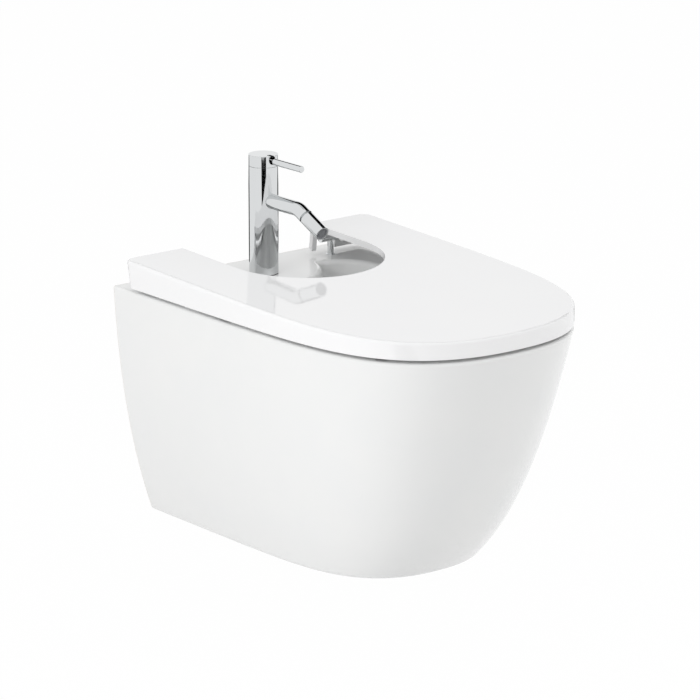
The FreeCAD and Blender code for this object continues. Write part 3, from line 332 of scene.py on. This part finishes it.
# %% Aerator insert with its recess
ROUND_SIDES = 48
ALONG = 0.9             # a face looks along Z when that part of its normal is larger
FLUSH = 1e-5            # a corner or middle this near a plane, a circle or the axis lies on it
RECESS_DEPTH = 0.0016
INSERT_RIM = 0.0008
INSERT_EDGE = 0.0003
swing_axis = next(joint["axis"] for joint in behaviour["joints"] if joint["name"] == "aerator_swing")
nozzle_drop = math.atan2(-swing_axis[1], swing_axis[2])
insert_size = extent_of("aerator_insert")
insert_r = insert_size.x / 2
insert_length = (insert_size.z - 2 * insert_r * math.cos(nozzle_drop)) / math.sin(nozzle_drop)
bpy.ops.object.select_all(action="DESELECT")
bpy.ops.mesh.primitive_cylinder_add(vertices=ROUND_SIDES, radius=insert_r, depth=insert_length)
insert = bpy.context.object
insert.name = "aerator_honeycomb"
edit_faces(insert, lambda middle, normal: normal.z > ALONG)
bpy.ops.mesh.inset(thickness=INSERT_RIM)
bpy.ops.mesh.extrude_region_move(TRANSFORM_OT_translate={"value": (0, 0, -RECESS_DEPTH)})
edit_edges(insert, lambda corner: corner.z > insert_length / 2 - FLUSH
           and corner.xy.length > insert_r - FLUSH)
bpy.ops.mesh.bevel(offset=INSERT_EDGE, segments=2)
bpy.ops.object.mode_set(mode="OBJECT")
print("insert length in mm:", round(1000 * insert_length, 2))

# %% [markdown]
# ## Honeycomb of the aerator
# A texture would only hint at the honeycomb, so it is modelled: one six-sided cell is a circle of six
# corners, inset and hollowed, given depth by Solidify, and copied over a hexagonal field that just fits the
# recess. The cells then join the insert.

# %% Honeycomb cells
CELL_PITCH = 0.0019         # across the flats, with half a wall on each side
CELL_WALL = 0.00034
CELL_RINGS = 3              # round the middle cell
CELL_SETBACK = 0.0002       # of the honeycomb behind the rim
CELL_CLEARANCE = 0.0001     # over the floor of the recess
bpy.ops.object.select_all(action="DESELECT")
bpy.ops.mesh.primitive_circle_add(vertices=6, radius=CELL_PITCH / math.sqrt(3), fill_type="NGON",
                                  location=(0, 0, insert_length / 2 - CELL_SETBACK))
cell = bpy.context.object
edit_faces(cell, lambda middle, normal: True)
bpy.ops.mesh.inset(thickness=CELL_WALL / 2)
bpy.ops.mesh.delete(type="FACE")
apply_modifier(cell, "SOLIDIFY", thickness=RECESS_DEPTH - CELL_SETBACK - CELL_CLEARANCE, offset=-1)
cells = []
for row in range(-CELL_RINGS, CELL_RINGS + 1):
    for column in range(max(-CELL_RINGS, -CELL_RINGS - row), min(CELL_RINGS, CELL_RINGS - row) + 1):
        copy = cell.copy()
        copy.data = cell.data.copy()
        bpy.context.collection.objects.link(copy)
        copy.location.x = CELL_PITCH * (column + row / 2)
        copy.location.y = CELL_PITCH * row * math.sqrt(3) / 2
        cells.append(copy)
bpy.data.objects.remove(cell)
only(insert)
for copy in cells:
    copy.select_set(True)
bpy.ops.object.join()
insert.location = middle_of("aerator_insert")
insert.rotation_euler.x = math.pi / 2 + nozzle_drop
stand_for(insert, "aerator_insert")
print("cells in the honeycomb:", len(cells))

# %% [markdown]
# ## Union nuts of the trap
# The trap is put together by hand, so its two union nuts have ribs for the grip. A cylinder has its ends
# inset down to the bore and bridged through, with a step where the lip holds the seal, and its rims
# bevelled. It has twice as many sides as ribs, so every other side is inset and drawn out in one go.

# %% Ribbed union nuts
ACROSS = 0.1            # a face looks across Z when that part of its normal is smaller
RIB_COUNT = 24
RIB_HEIGHT = 0.0011
RIB_SLOPE = 0.0005      # how far a rib's flanks lean in
RIM_EDGE = 0.0007


def union_nut(name, node, along_y, wide_r, narrow_r, lip):
    size = extent_of(node)
    length = size.y if along_y else size.z
    core_r = size.x / 2 - RIB_HEIGHT
    bpy.ops.object.select_all(action="DESELECT")
    bpy.ops.mesh.primitive_cylinder_add(vertices=2 * RIB_COUNT, radius=core_r, depth=length)
    nut = bpy.context.object
    nut.name = name
    edit_faces(nut, lambda middle, normal: abs(normal.z) > ALONG)
    bpy.ops.mesh.inset(thickness=core_r - wide_r)
    edit_faces(nut, lambda middle, normal: normal.z > ALONG and middle.xy.length < FLUSH)
    bpy.ops.mesh.extrude_region_move(TRANSFORM_OT_translate={"value": (0, 0, lip - length)})
    bpy.ops.mesh.inset(thickness=wide_r - narrow_r)
    edit_faces(nut, lambda middle, normal: normal.z < -ALONG and middle.xy.length < FLUSH)
    bpy.ops.mesh.inset(thickness=wide_r - narrow_r)
    edit_faces(nut, lambda middle, normal: abs(normal.z) > ALONG and middle.xy.length < FLUSH)
    bpy.ops.mesh.bridge_edge_loops()
    for end in (1, -1):
        edit_edges(nut, lambda corner: end * corner.z > length / 2 - FLUSH
                   and corner.xy.length > core_r - FLUSH)
        bpy.ops.mesh.bevel(offset=RIM_EDGE, segments=2)
    step = math.pi / RIB_COUNT
    edit_faces(nut, lambda middle, normal: abs(normal.z) < ACROSS and middle.xy.length > wide_r
               and round(math.atan2(middle.y, middle.x) / step - 0.5) % 2 == 0)
    bpy.ops.mesh.inset(thickness=RIB_SLOPE, depth=RIB_HEIGHT, use_individual=True)
    bpy.ops.object.mode_set(mode="OBJECT")
    nut.location = middle_of(node)
    if along_y:
        nut.rotation_euler.x = math.pi / 2
    stand_for(nut, node)


union_nut("inlet_union_nut", "trap_inlet_nut", along_y=False, wide_r=0.021, narrow_r=0.01605, lip=0.003)
union_nut("outlet_union_nut", "outlet_nut", along_y=True, wide_r=0.02005, narrow_r=0.01605, lip=0.002)

# %% [markdown]
# ## Cup of the bottle trap
# The cup screws off for cleaning. It has a rounded foot and eight finger grips, and it is hollow, with a
# wider mouth for the bottle.

# %% Trap cup with finger grips
GRIP_COUNT = 8
GRIP_PITCH = 6          # sides of the cup from one grip to the next
GRIP_SIDES = 2          # sides that a grip takes up
GRIP_HEIGHT = 0.0012
GRIP_SLOPE = 0.0015
CUP_WALL = 0.003
MOUTH_DEPTH = 0.014
FOOT_ROUND = 0.003
cup_size = extent_of("trap_cup")
cup_r = cup_size.x / 2 - GRIP_HEIGHT
cup_sides = GRIP_PITCH * GRIP_COUNT
mouth_wall = CUP_WALL - GRIP_HEIGHT
bpy.ops.object.select_all(action="DESELECT")
bpy.ops.mesh.primitive_cylinder_add(vertices=cup_sides, radius=cup_r, depth=cup_size.z)
cup = bpy.context.object
cup.name = "trap_cup_with_grips"
edit_faces(cup, lambda middle, normal: normal.z > ALONG)
bpy.ops.mesh.inset(thickness=mouth_wall)
bpy.ops.mesh.extrude_region_move(TRANSFORM_OT_translate={"value": (0, 0, -MOUTH_DEPTH)})
bpy.ops.mesh.inset(thickness=CUP_WALL)
bpy.ops.mesh.extrude_region_move(
    TRANSFORM_OT_translate={"value": (0, 0, CUP_WALL + MOUTH_DEPTH - cup_size.z)})
edit_edges(cup, lambda corner: corner.z < FLUSH - cup_size.z / 2 and corner.xy.length > cup_r - FLUSH)
bpy.ops.mesh.bevel(offset=FOOT_ROUND, segments=4)
sector = 2 * math.pi / cup_sides
edit_faces(cup, lambda middle, normal: abs(normal.z) < ACROSS and middle.xy.length > cup_r - mouth_wall
           and round(math.atan2(middle.y, middle.x) / sector - 0.5) % GRIP_PITCH < GRIP_SIDES)
bpy.ops.mesh.inset(thickness=GRIP_SLOPE, depth=GRIP_HEIGHT)
bpy.ops.object.mode_set(mode="OBJECT")
cup.location = middle_of("trap_cup")
stand_for(cup, "trap_cup")

# %% [markdown]
# ## Hexagon nuts
# A stamped nut has its corners turned off at both ends. The hexagon is cut with a cylinder whose ends are
# inset and pushed out to a cone, as the chamfering tool leaves it, and its bore is inset and bridged.

# %% Chamfered nuts
FACE_SHARE = 0.96       # end face's radius over that of the flats
CHAMFER_ANGLE = math.radians(30)
OVERCUT = 0.001         # extra height of the hexagon, which the cut takes off


def hexagon_nut(name, node, bore_r):
    size = extent_of(node)
    flats_r = min(size.x, size.y) / 2
    corner_r = 2 * flats_r / math.sqrt(3)
    face_r = FACE_SHARE * flats_r
    chamfer = (corner_r - face_r) * math.tan(CHAMFER_ANGLE)
    turn = math.pi / 6 if size.x > size.y else math.pi / 3      # corners along X, or along Y
    bpy.ops.object.select_all(action="DESELECT")
    bpy.ops.mesh.primitive_cylinder_add(vertices=ROUND_SIDES, radius=corner_r, depth=size.z - 2 * chamfer)
    turning = bpy.context.object
    edit_faces(turning, lambda middle, normal: abs(normal.z) > ALONG)
    bpy.ops.mesh.inset(thickness=corner_r - face_r, depth=chamfer)
    bpy.ops.object.mode_set(mode="OBJECT")
    bpy.ops.object.select_all(action="DESELECT")
    bpy.ops.mesh.primitive_cylinder_add(vertices=6, radius=corner_r, depth=size.z + OVERCUT,
                                        rotation=(0, 0, turn))
    nut = bpy.context.object
    nut.name = name
    bpy.ops.object.transform_apply(location=False, rotation=True, scale=False)
    apply_modifier(nut, "BOOLEAN", operation="INTERSECT", object=turning)
    bpy.data.objects.remove(turning)
    edit_faces(nut, lambda middle, normal: abs(normal.z) > ALONG)
    bpy.ops.mesh.inset(thickness=face_r - bore_r)
    edit_faces(nut, lambda middle, normal: abs(normal.z) > ALONG and middle.xy.length < bore_r / 2)
    bpy.ops.mesh.bridge_edge_loops()
    bpy.ops.object.mode_set(mode="OBJECT")
    nut.location = middle_of(node)
    stand_for(nut, node, smooth_deg=25)
    print(name, "grown by in mm", [round(1000 * (a - b), 2) for a, b in zip(nut.dimensions, size)])


hexagon_nut("clamp_nut_chamfered", "stud_nut", bore_r=0.003)
hexagon_nut("waste_nut_chamfered", "waste_back_nut", bore_r=0.021)

# %% [markdown]
# ## Thread of the clamping stud
# The stud that pulls the tap down is threaded rod. One pitch of its profile is a bent line, left over from a
# plane with a corner deleted, and the Screw modifier winds it up the rod.

# %% Threaded stud
PITCH = 0.001
THREAD_DEPTH = 0.00061
THREAD_STEPS = 16       # in one turn
PROFILE = ((0, 0.5), (-THREAD_DEPTH, 1), (-THREAD_DEPTH, 0))    # from the crest, then in pitches
stud_size = extent_of("tap_stud")
stud_r = stud_size.x / 2
turns = round(stud_size.z / PITCH) - 1
bpy.ops.object.select_all(action="DESELECT")
bpy.ops.mesh.primitive_plane_add(size=PITCH)
stud = bpy.context.object
stud.name = "clamping_stud_threaded"
clear_selection(stud, "VERT")
stud.data.vertices[len(PROFILE)].select = True      # the fourth corner, which the profile doesn't need
bpy.ops.object.mode_set(mode="EDIT")
bpy.ops.mesh.delete(type="VERT")
bpy.ops.object.mode_set(mode="OBJECT")
for corner, (across, up) in zip(stud.data.vertices, PROFILE):
    corner.co = (stud_r + across, 0, PITCH * up)
apply_modifier(stud, "SCREW", angle=2 * math.pi, screw_offset=PITCH, iterations=turns,
               steps=THREAD_STEPS, render_steps=THREAD_STEPS, use_merge_vertices=True, merge_threshold=MERGE)
bpy.ops.object.mode_set(mode="EDIT")
bpy.ops.mesh.select_all(action="SELECT")
bpy.ops.mesh.remove_doubles(threshold=MERGE)
bpy.ops.mesh.fill_holes(sides=0)
bpy.ops.object.mode_set(mode="OBJECT")
stud.location = middle_of("tap_stud") - Vector((0, 0, (turns + 1) * PITCH / 2))
stand_for(stud, "tap_stud", smooth_deg=20)

# %% [markdown]
# ## The studio floor
# A white product shot has a pale floor, a bright room and large soft lamps. The floor looks pure white to the
# camera and in reflections, through the Light Path node, while its light on the object stays at a plain
# level. A small share of it stays a true surface, so that it keeps a trace of the shadow.

# %% Studio floor
FLOOR_Z = -0.31         # the rim then stands at the usual 400 mm
FLOOR_SIZE = 14
FLOOR_GLOW = 0.985      # share of the floor that is plain white


def seen_directly(tree):
    """One where a camera, mirror or glass ray arrives, nought where light is only being gathered."""
    path = add(tree, "ShaderNodeLightPath")
    mirror = add(tree, "ShaderNodeMath", settings={"operation": "MAXIMUM"},
                 links={0: (path, "Is Camera Ray"), 1: (path, "Is Glossy Ray")})
    return add(tree, "ShaderNodeMath", settings={"operation": "MAXIMUM"},
               links={0: (mirror, 0), 1: (path, "Is Transmission Ray")})


bpy.ops.object.select_all(action="DESELECT")
bpy.ops.mesh.primitive_plane_add(size=FLOOR_SIZE, location=(0, 0, FLOOR_Z))
floor = bpy.context.object
floor.name = "studio_floor"
painted, tree = new_finish("white_studio_floor")
shown = seen_directly(tree)
share = add(tree, "ShaderNodeMath", settings={"operation": "MULTIPLY"}, values={1: FLOOR_GLOW},
            links={0: (shown, 0)})
paint = add(tree, "ShaderNodeBsdfDiffuse", values={"Color": linear("F2F2F2")})
white = add(tree, "ShaderNodeEmission", values={"Color": linear("FFFFFF"), "Strength": 1.0})
mixed = add(tree, "ShaderNodeMixShader", links={0: (share, 0), 1: (paint, "BSDF"), 2: (white, "Emission")})
add(tree, "ShaderNodeOutputMaterial", links={"Surface": (mixed, "Shader")})
floor.data.materials.append(painted)
print("floor at", FLOOR_Z)

# %% [markdown]
# ## The white room
# The room round the floor is the world's background. The same switch makes it pure white to the camera and
# in mirrors, and half as bright as a source of light, so that the lamps still shape the object.

# %% White room
ROOM_LIGHT = 0.5
world = bpy.data.worlds.new("white_room")
world.use_nodes = True
tree = world.node_tree
tree.nodes.clear()
shown = seen_directly(tree)
level = add(tree, "ShaderNodeMapRange", values={"To Min": ROOM_LIGHT, "To Max": 1.0},
            links={"Value": (shown, 0)})
room = add(tree, "ShaderNodeBackground", values={"Color": linear("FFFFFF")},
           links={"Strength": (level, "Result")})
add(tree, "ShaderNodeOutputWorld", links={"Surface": (room, "Background")})
bpy.context.scene.world = world
print("room light:", ROOM_LIGHT)

# %% [markdown]
# ## Lamps
# One large soft lamp on the left lights the near side, one on the right lifts the front, and one overhead
# lights the cover's top. A small one under the cover fills the basin. Mirrors don't see the lamps, so that
# no hard white patch falls on the chrome or the glaze.

# %% Lamps
BODY_MIDDLE = (0, -0.26, 0)
BASIN_FLOOR = (0, -0.33, -0.05)


def soft_lamp(name, place, aim, side, watts):
    data = bpy.data.lights.new(name, "AREA")
    data.shape = "SQUARE"
    data.size = side
    data.energy = watts
    lamp = bpy.data.objects.new(name, data)
    bpy.context.scene.collection.objects.link(lamp)
    lamp.location = place
    lamp.rotation_euler = (Vector(aim) - Vector(place)).to_track_quat("-Z", "Y").to_euler()
    lamp.visible_glossy = False
    lamp.visible_camera = False
    print(name, "of", watts, "W")


soft_lamp("key_lamp", place=(-2.4, -0.8, 0.9), aim=BODY_MIDDLE, side=1.6, watts=26.5)
soft_lamp("front_lamp", place=(2.4, -1.9, 0.7), aim=BODY_MIDDLE, side=1.6, watts=23.5)
soft_lamp("top_lamp", place=(0.2, -0.3, 2.6), aim=BODY_MIDDLE, side=2.2, watts=17.5)
soft_lamp("basin_lamp", place=(0, -0.32, 0.085), aim=BASIN_FLOOR, side=0.2, watts=0.07)

# %% [markdown]
# ## The camera
# The photograph was taken from the left of the front, a little above the cover, with a long lens. A long
# lens keeps the sides nearly parallel, so the camera stands almost five metres away.

# %% Camera
AIM = Vector((-0.0044, -0.2420, 0.0292))
AZIMUTH = math.radians(-38.97)
ELEVATION = math.radians(15.67)
DISTANCE = 4.866
LENS = 205.7            # millimetres, for the sensor's width below
SENSOR_WIDTH = 36
back = Vector((math.sin(AZIMUTH) * math.cos(ELEVATION), -math.cos(AZIMUTH) * math.cos(ELEVATION),
               math.sin(ELEVATION)))
camera_data = bpy.data.cameras.new("photo_camera")
camera_data.lens = LENS
camera_data.sensor_width = SENSOR_WIDTH
camera = bpy.data.objects.new("photo_camera", camera_data)
bpy.context.scene.collection.objects.link(camera)
camera.location = AIM + back * DISTANCE
camera.rotation_euler = (-back).to_track_quat("-Z", "Y").to_euler()
bpy.context.scene.camera = camera
bpy.context.scene.view_settings.view_transform = "Standard"
print("camera at", [round(c, 3) for c in camera.location])

# %% [markdown]
# ## Black flags for the tap
# A chrome tap in a white room has no outline. Photographers stand black flags round it, whose mirror images
# draw dark lines down the metal. One card with a slanting side stands a metre and a half from the tap,
# beside the camera, and low, because the tap mirrors what lies below the camera. One stands low behind the
# bidet, where the metal mirrors it only at its very edges. One hangs high behind it, for a dark band along
# the top of the spout and the nozzle. Only mirrors see the cards: they throw no shadow.

# %% Black flags
FLAGS = {   # distance from the tap towards the camera, then corners aside and up, in metres
    "camera_flag": (1.5, ((-0.36, -0.10), (0.66, -0.10), (0.60, -0.19), (-0.08, -0.265), (-0.30, -0.262))),
    "edge_flag": (-1.2, ((-1.16, -0.30), (0.70, -0.30), (0.70, -0.24),
                         (0.95, -0.24), (0.95, -0.08), (-1.16, -0.08))),
    "spout_flag": (-1.5, ((-0.8, 0.95), (2.4, 0.95), (2.4, 6.0), (1.0, 6.0), (-0.8, 2.2))),
}
tap_middle = middle_of("tap_body")
tap_foot = Vector((tap_middle.x, tap_middle.y, 0))
towards_camera = Vector((math.sin(AZIMUTH), -math.cos(AZIMUTH), 0))
beside_camera = Vector((math.cos(AZIMUTH), math.sin(AZIMUTH), 0))
velvet, tree = new_finish("black_velvet")
nap = add(tree, "ShaderNodeBsdfDiffuse", values={"Color": linear("0A0A0A")})
add(tree, "ShaderNodeOutputMaterial", links={"Surface": (nap, "BSDF")})
for name, (distance, corners) in FLAGS.items():
    bpy.ops.object.select_all(action="DESELECT")
    bpy.ops.mesh.primitive_circle_add(vertices=len(corners), radius=1, fill_type="NGON")
    flag = bpy.context.object
    flag.name = name
    for corner, (aside, up) in zip(flag.data.vertices, corners):
        corner.co = tap_foot + towards_camera * distance + beside_camera * aside + Vector((0, 0, up))
    flag.data.materials.append(velvet)
    flag.visible_camera = False
    flag.visible_diffuse = False
    flag.visible_shadow = False
print("flags:", list(FLAGS))
